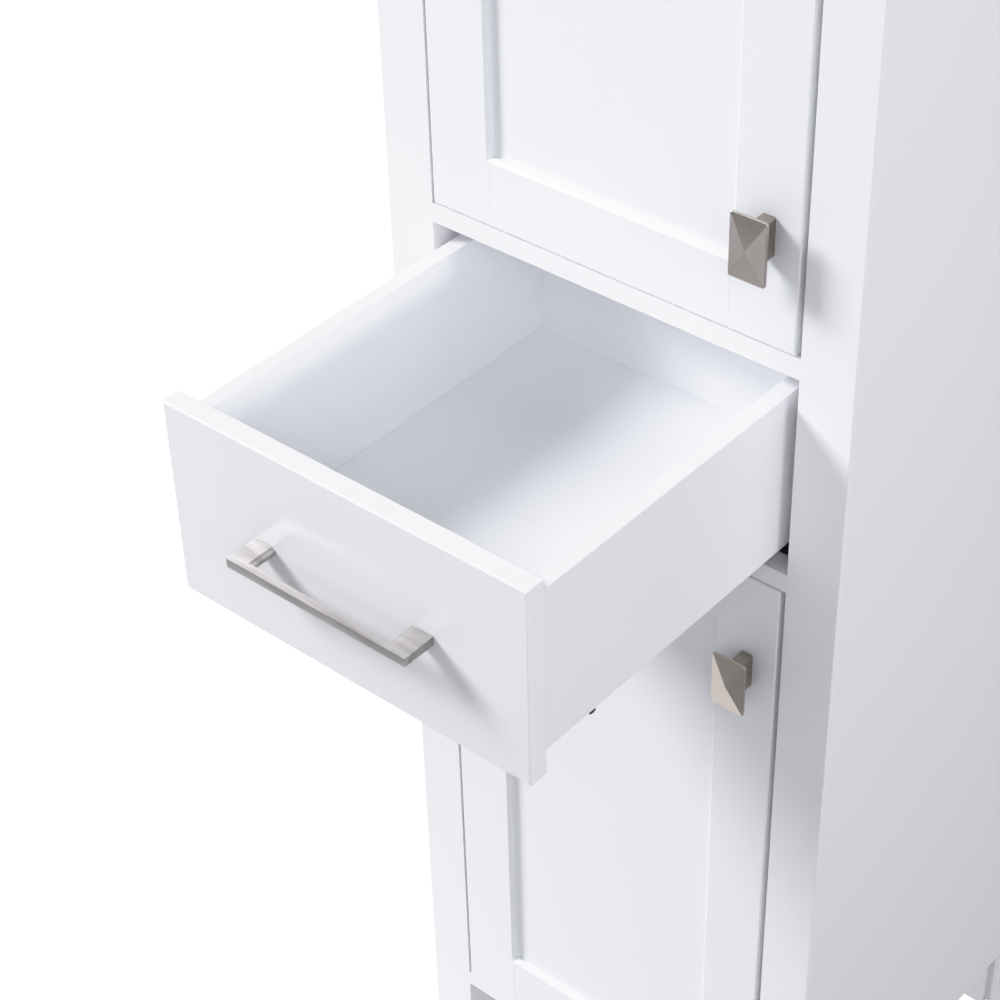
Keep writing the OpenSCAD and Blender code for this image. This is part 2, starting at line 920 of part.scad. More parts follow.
// The back stands on the bottom, which runs out under it
module drawer_back() {
    color(melamine) in_drawer()
        difference() {
            translate([-box_inner, front_t + box_l - box_t, bottom_z + bottom_t])
                cube([2 * box_inner, box_t, box_z + box_h - bottom_z - bottom_t]);
            for (s = [-1, 1])
                translate([s * hook_x, front_t + box_l + past, hook_z])
                    rotate([90, 0, 0])
                        cylinder(d = hook_pin_d + 2 * fit, h = hook_pin_l + seat + past);
        }
}

module drawer_bottom() {
    bottom_y = front_t + box_t - groove_d + groove_play;
    bottom_half = box_inner + groove_d - groove_play;
    color(melamine) in_drawer()
        translate([-bottom_half, bottom_y, bottom_z])
            cube([2 * bottom_half, front_t + box_l - bottom_y, bottom_t]);
}

// The pull: a flat bar on two legs, whose inner edges are a half round
module drawer_pull() {
    leg_round = pull_h / 2;
    color(nickel) in_drawer()
        difference() {
            translate([0, 0, pull_z]) {
                translate([-pull_l / 2, -pull_reach, -pull_h / 2])
                    cube([pull_l, pull_bar_t, pull_h]);
                for (s = [-1, 1])
                    on_side(s)
                        translate([pull_l / 2 - pull_leg_w + leg_round, -pull_reach, 0])
                            along_y(pull_reach) {
                                circle(r = leg_round);
                                translate([0, -leg_round])
                                    square([pull_leg_w - leg_round, pull_h]);
                            }
            }
            for (s = [-1, 1])
                translate([s * pull_spacing / 2, past, pull_z])
                    rotate([90, 0, 0])
                        cylinder(d = machine_d + 2 * fit, h = pull_hole_depth + past);
        }
}

module pull_screws() {
    color(zinc) in_drawer()
        for (s = [-1, 1])
            translate([s * pull_spacing / 2, front_t + box_t, pull_z])
                machine_screw(pull_screw_l);
}

module drawer_front_screws() {
    color(zinc) in_drawer() front_screw_places() wood_screw(front_screw_l, screw_d);
}

// Doors

// A door's own frame stands under its middle, which is off the cabinet's by unequal gaps
module at_door() {
    at_face() translate([door_x, 0, 0]) children();
}

// The blank of a whole door, and the places of its frame members
module door_blank(z, h) {
    translate([0, 0, z]) eased_slab(door_w, door_t, h, door_ease);
}

inner_x = door_w / 2 - stile_w;

// The bevel along the frame's inner edge, mitred in the corners
module inner_bevel(z, h) {
    w0 = 2 * inner_x;
    h0 = h - 2 * rail_w;
    intersection() {
        translate([0, 0, z + rail_w - inner_ease])
            linear_extrude(h0 + 2 * inner_ease)
                polygon([
                    [-w0 / 2 - inner_ease - past, -past], [w0 / 2 + inner_ease + past, -past],
                    [w0 / 2, inner_ease], [-w0 / 2, inner_ease]
                ]);
        translate([-w0 / 2 - inner_ease, 0, z + h / 2])
            rotate([90, 0, 90])
                linear_extrude(w0 + 2 * inner_ease)
                    polygon([
                        [-past, -h0 / 2 - inner_ease - past], [-past, h0 / 2 + inner_ease + past],
                        [inner_ease, h0 / 2], [inner_ease, -h0 / 2]
                    ]);
    }
}

// Cup bores and cup screw holes of a door's two hinges
module cup_bores(levels) {
    for (z = levels)
        translate([-cheek_x - door_x, 0, z]) {
            translate([cup_x, door_t - cup_depth - fit, 0])
                rotate([-90, 0, 0])
                    cylinder(d = cup_d + 2 * fit, h = cup_depth + fit + past);
            for (s = [-1, 1])
                translate([cup_x + cup_screw_back, door_t + cup_flange_t, s * cup_screw_out])
                    rotate([0, 0, 180])
                        screw_hole(cup_screw_l, screw_d);
        }
}

module knob_bore(z) {
    translate([knob_x, door_t + past, z])
        rotate([90, 0, 0])
            cylinder(d = machine_d + 1, h = door_t + 2 * past);
}

// A stile, whose groove for the panel and the rails' tongues runs its whole length
module door_stile(side, z, h, hinges, knob_z) {
    difference() {
        intersection() {
            door_blank(z, h);
            translate([side < 0 ? -door_w / 2 : inner_x, -past, z - past])
                cube([stile_w, door_t + 2 * past, h + 2 * past]);
        }
        inner_bevel(z, h);
        if (side < 0) cup_bores(hinges);
        if (side > 0) knob_bore(knob_z);
        translate([-inner_x - panel_groove, panel_recess, z - past])
            cube([2 * (inner_x + panel_groove), panel_t, h + 2 * past]);
    }
}

// A rail between the stiles, with tongues that fill their grooves
module door_rail(upper, z, h) {
    rail_z = upper ? z + h - rail_w : z;
    difference() {
        union() {
            intersection() {
                door_blank(z, h);
                translate([-inner_x, -past, rail_z])
                    cube([2 * inner_x, door_t + 2 * past, rail_w]);
            }
            translate([-inner_x - panel_groove + groove_play, panel_recess, rail_z])
                cube([2 * (inner_x + panel_groove - groove_play), panel_t, rail_w]);
        }
        translate([-inner_x - panel_groove, panel_recess, z + rail_w - panel_groove])
            cube([2 * (inner_x + panel_groove), panel_t, h - 2 * (rail_w - panel_groove)]);
        inner_bevel(z, h);
    }
}

module door_panel(z, h) {
    reach = panel_groove - groove_play;
    translate([-inner_x - reach, panel_recess, z + rail_w - reach])
        cube([2 * (inner_x + reach), panel_t, h - 2 * rail_w + 2 * reach]);
}

module upper_door_left_stile() {
    color(paint) at_door()
        door_stile(-1, upper_door_z, upper_door_h, upper_hinge_z, upper_knob_z);
}

module upper_door_right_stile() {
    color(paint) at_door()
        door_stile(1, upper_door_z, upper_door_h, upper_hinge_z, upper_knob_z);
}

module upper_door_top_rail() {
    color(paint) at_door() door_rail(true, upper_door_z, upper_door_h);
}

module upper_door_bottom_rail() {
    color(paint) at_door() door_rail(false, upper_door_z, upper_door_h);
}

module upper_door_panel() {
    color(paint) at_door() door_panel(upper_door_z, upper_door_h);
}

module lower_door_left_stile() {
    color(paint) at_door()
        door_stile(-1, lower_door_z, lower_door_h, lower_hinge_z, lower_knob_z);
}

module lower_door_right_stile() {
    color(paint) at_door()
        door_stile(1, lower_door_z, lower_door_h, lower_hinge_z, lower_knob_z);
}

module lower_door_top_rail() {
    color(paint) at_door() door_rail(true, lower_door_z, lower_door_h);
}

module lower_door_bottom_rail() {
    color(paint) at_door() door_rail(false, lower_door_z, lower_door_h);
}

module lower_door_panel() {
    color(paint) at_door() door_panel(lower_door_z, lower_door_h);
}

// Outline of a knob's plate from one side: a rim, and a roof that rises to the middle
function knob_roof(w) = [
    [-w / 2, 0], [w / 2, 0], [w / 2, -knob_reach], [0, -knob_reach - knob_rise],
    [-w / 2, -knob_reach]
];

// A rectangle about the origin with round corners
function round_rectangle(w, h, r) = concat(
    arc(-w / 2 + r, -h / 2 + r, r, 180, 270),
    arc(w / 2 - r, -h / 2 + r, r, 270, 360),
    arc(w / 2 - r, h / 2 - r, r, 0, 90),
    arc(-w / 2 + r, h / 2 - r, r, 90, 180)
);

// A knob: a rectangular stem, and a plate whose face rises to its middle like a low pyramid
knob_screw_depth = 18;
module knob(z) {
    plate_y = knob_reach - knob_rim_t;
    translate([knob_x, 0, z])
        difference() {
            union() {
                intersection() {
                    translate([0, -plate_y, 0])
                        rotate([90, 0, 0])
                            linear_extrude(knob_rim_t + knob_rise)
                                polygon(round_rectangle(knob_w, knob_h, knob_corner));
                    translate([0, 0, -knob_h / 2])
                        linear_extrude(knob_h) polygon(knob_roof(knob_w));
                    translate([-knob_w / 2, 0, 0])
                        rotate([90, 0, 90])
                            linear_extrude(knob_w)
                                polygon([for (p = knob_roof(knob_h)) [p[1], p[0]]]);
                }
                rotate([90, 0, 0])
                    linear_extrude(plate_y + past)
                        polygon(round_rectangle(stem_w, stem_h, stem_corner));
            }
            translate([0, past, 0])
                rotate([90, 0, 0])
                    cylinder(d = machine_d + 2 * fit, h = knob_screw_depth + past);
        }
}

module upper_knob() {
    color(nickel) at_door() knob(upper_knob_z);
}

module lower_knob() {
    color(nickel) at_door() knob(lower_knob_z);
}

module knob_screw(z) {
    translate([knob_x, door_t, z]) machine_screw(door_t + knob_screw_depth - screw_end);
}

module upper_knob_screw() {
    color(zinc) at_door() knob_screw(upper_knob_z);
}

module lower_knob_screw() {
    color(zinc) at_door() knob_screw(lower_knob_z);
}

// Hinges

// A hinge's own frame stands on the left cheek at each of the given heights
module at_hinges(levels) {
    for (z = levels)
        translate([-cheek_x, 0, z]) children();
}

// A strap about the origin with a round end about each screw
module wing(spacing, w) {
    square([w, spacing], center = true);
    for (s = [-1, 1])
        translate([0, s * spacing / 2]) circle(d = w);
}

module hinge_cup() {
    difference() {
        union() {
            translate([cup_x, door_t - cup_depth, 0])
                rotate([-90, 0, 0])
                    cylinder(d = cup_d, h = cup_depth + cup_flange_t);
            translate([cup_x, door_t, 0])
                rotate([-90, 0, 0])
                    cylinder(d = cup_d + 2 * cup_lip, h = cup_flange_t);
            translate([cup_x + cup_screw_back, door_t, 0])
                rotate([-90, 0, 0])
                    linear_extrude(cup_flange_t) wing(2 * cup_screw_out, cup_wing_w);
        }
        translate([cup_x, door_t - cup_depth + hinge_steel, 0])
            rotate([-90, 0, 0])
                cylinder(d = cup_d - 2 * hinge_steel, h = cup_depth + past);
        for (s = [-1, 1])
            translate([cup_x + cup_screw_back, door_t + cup_flange_t, s * cup_screw_out])
                rotate([0, 0, 180])
                    screw_hole(cup_screw_l, screw_d);
    }
}

module cup_screws() {
    for (s = [-1, 1])
        translate([cup_x + cup_screw_back, door_t + cup_flange_t, s * cup_screw_out])
            rotate([0, 0, 180])
                wood_screw(cup_screw_l, screw_d);
}

module upper_hinge_cups() {
    color(zinc) at_face() at_hinges(upper_hinge_z) hinge_cup();
}

module upper_cup_screws() {
    color(zinc) at_face() at_hinges(upper_hinge_z) cup_screws();
}

module lower_hinge_cups() {
    color(zinc) at_face() at_hinges(lower_hinge_z) hinge_cup();
}

module lower_cup_screws() {
    color(zinc) at_face() at_hinges(lower_hinge_z) cup_screws();
}

// A mounting plate: a long saddle, and a wing across it with the two screws
module hinge_plate() {
    difference() {
        union() {
            translate([0, plate_y - saddle_l / 2, -saddle_half])
                cube([saddle_h, saddle_l, 2 * saddle_half]);
            translate([0, plate_y, 0])
                rotate([90, 0, 90])
                    linear_extrude(plate_wing_t) wing(plate_spacing, plate_wing_w);
        }
        plate_screw_holes();
        translate([-past, fixing_screw_y, 0])
            rotate([0, 90, 0])
                cylinder(d = machine_d + 2 * fit, h = saddle_h + 2 * past);
    }
}

module plate_screw_places() {
    for (s = [-1, 1])
        translate([plate_wing_t, plate_y, s * plate_spacing / 2])
            rotate([0, 0, 90])
                children();
}

module plate_screw_holes() {
    plate_screw_places() screw_hole(screw_l, screw_d);
}

module hinge_plates() {
    color(zinc) at_face() at_hinges(concat(lower_hinge_z, upper_hinge_z)) hinge_plate();
}

// Outline of an arm from above: it lies over the saddle and cranks out to the pin in the cup
arm_back = plate_y + saddle_l / 2 + 3;
arm_x0 = plate_wing_t + 1;
arm_x1 = saddle_h + 8;
fixing_screw_y = plate_y + 12;
setting_screw_y = plate_y - 3;
setting_screw_d = 6;
arm_nose_r = 3.4;
nose_slot = 8;
crank_y = plate_y - 18;
crank_run = 10;
arm_outline = concat(
    [[arm_x0, arm_back], [arm_x0, crank_y]],
    arc(arm_pin_x, arm_pin_y, arm_nose_r, 215, 395),
    [[arm_x1, crank_y + crank_run], [arm_x1, arm_back]]
);
arm_hollow = concat(
    [
        [arm_x0 - past, arm_back - hinge_steel], [arm_x0 - past, crank_y - past],
        [arm_pin_x - nose_slot, arm_pin_y - nose_slot]
    ],
    arc(arm_pin_x, arm_pin_y, arm_nose_r - hinge_steel, 300, 395),
    [[arm_x1 - hinge_steel, crank_y + crank_run], [arm_x1 - hinge_steel, arm_back - hinge_steel]]
);

// The arm is folded from sheet: its hollow takes the saddle at the back and the link at the nose
module hinge_arm() {
    difference() {
        translate([0, 0, -arm_half]) linear_extrude(2 * arm_half) polygon(arm_outline);
        translate([0, 0, -arm_half + hinge_steel])
            linear_extrude(2 * (arm_half - hinge_steel)) polygon(arm_hollow);
        translate([arm_pin_x - nose_slot, arm_pin_y - nose_slot, -arm_half + hinge_steel])
            cube([2 * nose_slot, 2 * nose_slot, 2 * (arm_half - hinge_steel)]);
        translate([arm_x1 - hinge_steel - past, fixing_screw_y, 0])
            rotate([0, 90, 0])
                cylinder(d = machine_d + 2 * fit, h = hinge_steel + 2 * past);
        translate([arm_x1 - hinge_steel - past, setting_screw_y, 0])
            rotate([0, 90, 0])
                cylinder(d = setting_screw_d + 2 * fit, h = hinge_steel + 2 * past);
    }
    translate([arm_pin_x, arm_pin_y, -arm_half])
        cylinder(r = arm_pin_r, h = 2 * arm_half);
}

// The screw that fixes an arm to its saddle, and the one that stands on the saddle and sets the
// door sideways
module arm_screws() {
    translate([arm_x1, fixing_screw_y, 0])
        rotate([0, 0, -90])
            machine_screw(arm_x1 - screw_end);
    translate([saddle_h, setting_screw_y, 0])
        rotate([0, 90, 0])
            cylinder(d = setting_screw_d, h = arm_x1 - saddle_h);
}

module hinge_arms() {
    color(zinc) at_face() at_hinges(concat(lower_hinge_z, upper_hinge_z)) hinge_arm();
}

// A link from the arm's pin into the cup, sagging towards the cup's bottom so that it clears the
// cup's rim when the door stands open
link_eye_r = 2.8;
link_end_r = 2;
module hinge_link() {
    run = [cup_pin_x - arm_pin_x, cup_pin_y - arm_pin_y];
    span = norm(run);
    turn = atan2(run[1], run[0]);
    sag_r = (span * span / 4 + link_sag * link_sag) / (2 * link_sag);
    translate([arm_pin_x, arm_pin_y, -link_half])
        rotate([0, 0, turn])
            difference() {
                union() {
                    linear_extrude(2 * link_half)
                        intersection() {
                            translate([span / 2, link_sag - sag_r])
                                difference() {
                                    circle(r = sag_r + link_t / 2);
                                    circle(r = sag_r - link_t / 2);
                                }
                            translate([0, -past]) square([span, link_sag + link_t + past]);
                        }
                    cylinder(r = link_eye_r, h = 2 * link_half);
                    translate([span, 0, 0]) cylinder(r = link_end_r, h = 2 * link_half);
                }
                translate([0, 0, -past])
                    cylinder(r = arm_pin_r + fit, h = 2 * (link_half + past));
            }
}

module upper_hinge_links() {
    color(zinc) at_face() at_hinges(upper_hinge_z) hinge_link();
}

module lower_hinge_links() {
    color(zinc) at_face() at_hinges(lower_hinge_z) hinge_link();
}

// The screws of the hinge plates, the hinge arms and the runner flanges
module runner_screw_places() {
    for (s = [-1, 1])
        for (y = flange_screw_y)
            translate([s * (cheek_x - runner_steel), y, drawer_open_z + flange_screw_z])
                rotate([0, 0, -s * 90])
                    children();
}

module hardware_screw_holes() {
    at_hinges(concat(lower_hinge_z, upper_hinge_z)) plate_screw_holes();
    runner_screw_places() screw_hole(screw_l, screw_d);
}

module hardware_screws() {
    color(zinc) at_face() {
        at_hinges(concat(lower_hinge_z, upper_hinge_z)) {
            plate_screw_places() wood_screw(screw_l, screw_d);
            arm_screws();
        }
        runner_screw_places() wood_screw(screw_l, screw_d);
    }
}

front_left_post();
front_right_post();
rear_left_post();
rear_right_post();
left_side_panel();
right_side_panel();
top_panel();
upper_divider();
lower_divider();
bottom_board();
back_panel();
wall_rail();
runner_cleats();
upper_shelf_high();
upper_shelf_low();
lower_shelf();
shelf_pins();
carcass_dowels();
leg_glides();
door_stops();
left_runner_cabinet_rail();
right_runner_cabinet_rail();
hinge_plates();
hinge_arms();
hardware_screws();
left_runner_middle_rail();
right_runner_middle_rail();
runner_glide_blocks();
drawer_front();
drawer_sub_front();
drawer_left_side();
drawer_right_side();
drawer_back();
drawer_bottom();
drawer_pull();
pull_screws();
drawer_front_screws();
left_runner_drawer_rail();
right_runner_drawer_rail();
runner_clips();
upper_door_left_stile();
upper_door_right_stile();
upper_door_top_rail();
upper_door_bottom_rail();
upper_door_panel();
upper_knob();
upper_knob_screw();
upper_hinge_cups();
upper_cup_screws();
upper_hinge_links();
lower_door_left_stile();
lower_door_right_stile();
lower_door_top_rail();
lower_door_bottom_rail();
lower_door_panel();
lower_knob();
lower_knob_screw();
lower_hinge_cups();
lower_cup_screws();
lower_hinge_links();
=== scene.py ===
import json
from math import pi, radians

import bmesh
import bpy
from mathutils import Matrix, Vector

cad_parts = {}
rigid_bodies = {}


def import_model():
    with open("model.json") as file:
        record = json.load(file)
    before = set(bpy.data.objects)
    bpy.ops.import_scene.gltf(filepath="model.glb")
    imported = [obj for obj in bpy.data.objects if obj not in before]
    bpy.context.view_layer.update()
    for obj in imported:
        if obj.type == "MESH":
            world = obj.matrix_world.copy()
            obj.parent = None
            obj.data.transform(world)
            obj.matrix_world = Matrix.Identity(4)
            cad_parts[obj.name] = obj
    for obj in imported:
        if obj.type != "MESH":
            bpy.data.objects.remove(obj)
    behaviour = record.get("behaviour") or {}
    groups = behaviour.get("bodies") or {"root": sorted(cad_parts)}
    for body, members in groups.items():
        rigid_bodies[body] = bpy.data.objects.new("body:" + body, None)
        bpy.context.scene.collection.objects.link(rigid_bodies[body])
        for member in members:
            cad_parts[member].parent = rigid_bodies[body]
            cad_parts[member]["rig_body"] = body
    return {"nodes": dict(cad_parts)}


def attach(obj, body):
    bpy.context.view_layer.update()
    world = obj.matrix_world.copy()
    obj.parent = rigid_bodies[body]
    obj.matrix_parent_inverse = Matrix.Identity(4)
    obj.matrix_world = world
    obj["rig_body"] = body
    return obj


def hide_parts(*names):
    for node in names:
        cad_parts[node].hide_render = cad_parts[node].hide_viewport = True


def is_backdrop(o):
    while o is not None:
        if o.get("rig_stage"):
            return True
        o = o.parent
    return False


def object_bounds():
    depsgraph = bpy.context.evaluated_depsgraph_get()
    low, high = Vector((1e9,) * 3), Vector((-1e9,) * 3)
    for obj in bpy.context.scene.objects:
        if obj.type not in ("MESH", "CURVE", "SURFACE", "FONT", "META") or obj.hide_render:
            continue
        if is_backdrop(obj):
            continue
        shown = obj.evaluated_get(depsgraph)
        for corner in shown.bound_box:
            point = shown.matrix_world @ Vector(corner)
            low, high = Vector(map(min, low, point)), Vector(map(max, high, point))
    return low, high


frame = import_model()
cad_low, cad_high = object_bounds()

# The camera stands in front of the cabinet's right side, above the open drawer, and looks down on
# it with a long lens. Its place was worked out from the cabinet's straight edges in the photograph.
eye = Vector((0.99499, -1.31897, 2.11820))
sight = Vector((-0.52038, 0.58996, -0.61737))
image_right = Vector((0.76238, 0.64665, -0.02466))
camera = bpy.data.objects.new("camera", bpy.data.cameras.new("camera"))
camera.data.sensor_width = 36
camera.data.lens = 86.84
camera.matrix_world = Matrix.Translation(eye) @ Matrix(
    (image_right, image_right.cross(sight), -sight)
).transposed().to_4x4()
bpy.context.scene.collection.objects.link(camera)
bpy.context.scene.camera = camera

# The picture's tones are kept as they are up to the brightest whites, which roll off softly, as
# they do in a photograph. The curve's last point is the light that first shows as pure white.
view = bpy.context.scene.view_settings
view.view_transform = "Standard"
view.use_curve_mapping = True
view.curve_mapping.clip_max_x = 2
tones = view.curve_mapping.curves[3]
tones.points[1].location = (1.8, 1)
for light, shown in (
    (0.2, 0.2), (0.4, 0.4), (0.6, 0.6), (0.8, 0.8), (0.9, 0.879), (1, 0.926), (1.15, 0.965),
    (1.4, 0.99)
):
    tones.points.new(light, shown)
view.curve_mapping.update()

# A studio with soft light: a key light from the upper left that grazes the front, weaker lights all
# round, and one under the cabinet in place of what a pale floor throws back. The small light on the
# right is level with the cabinet's front, so the post shades the drawer side beside it.
drawer_middle = Vector((0, -0.25, 1.05))
cool_white = (0.99, 0.983, 1.026)
studio = bpy.data.worlds.new("studio")
studio.use_nodes = True
studio.node_tree.nodes["Background"].inputs["Color"].default_value = (*cool_white, 1)
studio.node_tree.nodes["Background"].inputs["Strength"].default_value = 0.265
bpy.context.scene.world = studio
bpy.context.scene.cycles.diffuse_bounces = 8
bpy.context.scene.cycles.caustics_reflective = False
for name, place, size, power in (
    ("key", Vector((-3.85, -2.37, 3.14)), (1.7, 1.7), 308),
    ("front", Vector((0.9, -4.2, 0.9)), (2.4, 2.4), 20),
    ("right", Vector((3.2, -0.8, 1.0)), (1.8, 1.8), 21),
    ("right_small", Vector((5.0, 0.27, 0.3)), (0.3, 0.3), 48),
    ("right_high", Vector((2.2, -2.4, 2.4)), (1.6, 1.6), 34),
    ("right_behind", Vector((3.0, 1.5, 0.6)), (1.8, 1.8), 13),
    ("behind", Vector((0.3, 3.8, 0.6)), (2.4, 2.4), 32),
    ("from_floor", Vector((-0.5, -0.1, -1.03)), (1.1, 1.7), 4.2),
):
    lamp = bpy.data.objects.new(name, bpy.data.lights.new(name, "AREA"))
    lamp.data.shape = "RECTANGLE"
    lamp.data.size, lamp.data.size_y = size
    lamp.data.energy = power
    lamp.data.color = cool_white
    lamp.location = drawer_middle + place
    lamp.rotation_euler = (-place).to_track_quat("-Z", "Y").to_euler()
    lamp.visible_camera = False
    bpy.context.scene.collection.objects.link(lamp)

# The floor is plain and pale, and a backdrop of the same finish closes the studio on all sides.
# Both glow evenly and are seen by the camera alone, so they throw no light on the cabinet.
floor_finish = bpy.data.materials.new("pale_floor")
floor_finish.use_nodes = True
floor_shader = floor_finish.node_tree.nodes["Principled BSDF"]
floor_shader.inputs["Base Color"].default_value = (0.93, 0.93, 0.93, 1)
floor_shader.inputs["Roughness"].default_value = 0.9
floor_shader.inputs["Emission Color"].default_value = (1, 1, 1, 1)
floor_shader.inputs["Emission Strength"].default_value = 1.4
for name, create, sizes in (
    ("floor", bmesh.ops.create_grid, {"x_segments": 1, "y_segments": 1, "size": 20}),
    ("backdrop", bmesh.ops.create_cube, {"size": 40}),
):
    shape = bmesh.new()
    create(shape, **sizes)
    mesh = bpy.data.meshes.new(name)
    shape.to_mesh(mesh)
    shape.free()
    mesh.materials.append(floor_finish)
    thing = bpy.data.objects.new(name, mesh)
    thing.visible_shadow = name == "floor"
    thing.visible_diffuse = False
    thing.visible_glossy = False
    bpy.context.scene.collection.objects.link(thing)
    thing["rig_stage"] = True


# Four corner posts run from the floor to the top. They are planed wood, sprayed with a satin white
# lacquer, and their outer edges and the edges of their joints are sanded round.
def surface(
    name, pale, deep, patch, smooth, rough, grain, depth, metal=0.0, gloss=0.5, stretch=(1, 1, 1)
):
    """A finish whose colour drifts from pale to deep and whose sheen from smooth to rough, over
    patches of one size, with a fine relief of a given grain and depth."""
    finish = bpy.data.materials.new(name)
    finish.use_nodes = True
    nodes = finish.node_tree.nodes
    link = finish.node_tree.links.new
    shader = nodes["Principled BSDF"]
    shader.inputs["Metallic"].default_value = metal
    shader.inputs["Specular IOR Level"].default_value = gloss
    place = nodes.new("ShaderNodeTexCoord")
    direction = nodes.new("ShaderNodeMapping")
    direction.inputs["Scale"].default_value = stretch
    link(place.outputs["Object"], direction.inputs["Vector"])
    drift = nodes.new("ShaderNodeTexNoise")
    drift.inputs["Scale"].default_value = 1 / patch
    drift.inputs["Detail"].default_value = 3
    link(direction.outputs["Vector"], drift.inputs["Vector"])
    tint = nodes.new("ShaderNodeMix")
    tint.data_type = "RGBA"
    tint.inputs["A"].default_value = (*pale, 1)
    tint.inputs["B"].default_value = (*deep, 1)
    link(drift.outputs["Fac"], tint.inputs["Factor"])
    link(tint.outputs["Result"], shader.inputs["Base Color"])
    sheen = nodes.new("ShaderNodeMapRange")
    sheen.inputs["To Min"].default_value = smooth
    sheen.inputs["To Max"].default_value = rough
    link(drift.outputs["Fac"], sheen.inputs["Value"])
    link(sheen.outputs["Result"], shader.inputs["Roughness"])
    relief = nodes.new("ShaderNodeTexNoise")
    relief.inputs["Scale"].default_value = 1 / grain
    relief.inputs["Detail"].default_value = 4
    link(direction.outputs["Vector"], relief.inputs["Vector"])
    bump = nodes.new("ShaderNodeBump")
    bump.inputs["Strength"].default_value = 1
    bump.inputs["Distance"].default_value = depth
    link(relief.outputs["Fac"], bump.inputs["Height"])
    link(bump.outputs["Normal"], shader.inputs["Normal"])
    return finish


same_place = 1e-6
flat_angle, corner_angle, sharp_angle = radians(0.3), radians(35), radians(50)


def make_piece(name, shape, finish, node):
    """Turns a shape into a piece with its finish, which stands for a node of the frame."""
    mesh = bpy.data.meshes.new(name)
    shape.to_mesh(mesh)
    shape.free()
    mesh.polygons.foreach_set("use_smooth", [True] * len(mesh.polygons))
    mesh.set_sharp_from_angle(angle=sharp_angle)
    mesh.materials.append(finish)
    piece = bpy.data.objects.new(name, mesh)
    bpy.context.scene.collection.objects.link(piece)
    even = piece.modifiers.new("even_normals", "WEIGHTED_NORMAL")
    even.keep_sharp = True
    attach(piece, frame["nodes"][node]["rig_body"])
    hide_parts(node)


def ease_edges(node, finish, ease, segments=2, ridge=corner_angle):
    """A node of the frame with its sharp edges eased, and the ridges of its front as well where
    they are steeper than the given angle."""
    board = bmesh.new()
    board.from_mesh(frame["nodes"][node].data)
    bmesh.ops.remove_doubles(board, verts=board.verts, dist=same_place)
    bmesh.ops.dissolve_limit(
        board, angle_limit=flat_angle, verts=board.verts, edges=board.edges
    )
    sharp = []
    for edge in board.edges:
        if edge.is_manifold:
            along = (edge.verts[1].co - edge.verts[0].co).normalized()
            limit = ridge if abs(along.y) < 0.5 else corner_angle
            if edge.calc_face_angle() > limit:
                sharp.append(edge)
    bmesh.ops.bevel(
        board, geom=sharp, offset=ease, offset_type="OFFSET", segments=segments, profile=0.5,
        affect="EDGES", material=-1, clamp_overlap=True
    )
    make_piece("eased_" + node, board, finish, node)


carcass_paint = surface(
    "satin_white_paint", (0.862, 0.857, 0.876), (0.849, 0.844, 0.863),
    patch=0.25, smooth=0.17, rough=0.22, grain=0.0018, depth=0.000006, gloss=0.2
)
for node in ("front_left_post", "front_right_post", "rear_left_post", "rear_right_post"):
    ease_edges(node, carcass_paint, ease=0.0004)

# The side panels are board, tongued into grooves of the posts and painted with them. Inside they
# have rows of holes for the shelf pins.
for node in ("left_side_panel", "right_side_panel"):
    ease_edges(node, carcass_paint, ease=0.0003)

# The top, the two dividers and the bottom are 18 mm boards, notched round the posts and dowelled
# to them. Their front edges lie flush with the posts.
for node in ("top_panel", "upper_divider", "lower_divider", "bottom_board"):
    ease_edges(node, carcass_paint, ease=0.0006)

# The back panel lies in a rebate of the rear posts. The wall rail is glued to its front, and two
# screws go through both into the wall. Both are faced with fine-grained white melamine.
melamine_face = surface(
    "white_melamine", (0.851, 0.862, 0.875), (0.839, 0.850, 0.863),
    patch=0.05, smooth=0.36, rough=0.44, grain=0.0008, depth=0.00003
)
for node in ("back_panel", "wall_rail"):
    ease_edges(node, melamine_face, ease=0.0003)

# Dowels join the boards to the posts, and cleats beside them carry the runners. Both are bare
# beech, with its grain along the length.
bare_beech = surface(
    "bare_beech", (0.70, 0.53, 0.36), (0.52, 0.36, 0.22),
    patch=0.03, smooth=0.5, rough=0.65, grain=0.0012, depth=0.00008, stretch=(1, 0.12, 1)
)
ease_edges("runner_cleats", bare_beech, ease=0.0008)
ease_edges("carcass_dowels", bare_beech, ease=0.001)

# Three shelves of white melamine board lie loose on four pins each, so they can be lifted out and
# moved up or down a hole. Their edges are banded with the same melamine.
for node in ("upper_shelf_high", "upper_shelf_low", "lower_shelf"):
    ease_edges(node, melamine_face, ease=0.0006)

# The shelf pins are turned from steel, and the runners and hinges pressed from it, with the edges
# of the sheet broken. All are bright zinc plated.
zinc_plate = surface(
    "zinc_plated_steel", (0.70, 0.71, 0.73), (0.58, 0.60, 0.64),
    patch=0.012, smooth=0.24, rough=0.40, grain=0.0006, depth=0.00001, metal=1.0
)
for node in (
    "shelf_pins", "left_runner_cabinet_rail", "right_runner_cabinet_rail",
    "left_runner_middle_rail", "right_runner_middle_rail", "left_runner_drawer_rail",
    "right_runner_drawer_rail", "hinge_plates", "hinge_arms", "upper_hinge_links",
    "lower_hinge_links", "upper_hinge_cups", "lower_hinge_cups"
):
    ease_edges(node, zinc_plate, ease=0.00025)

# The leg glides, the door stops and the runners' glide blocks are moulded in white nylon, with the
# round edges of a mould.
white_nylon = surface(
    "white_nylon", (0.82, 0.82, 0.80), (0.78, 0.78, 0.75),
    patch=0.02, smooth=0.40, rough=0.50, grain=0.0008, depth=0.00002
)
ease_edges("leg_glides", white_nylon, ease=0.0006)
ease_edges("door_stops", white_nylon, ease=0.001, segments=3)
ease_edges("runner_glide_blocks", white_nylon, ease=0.0004)

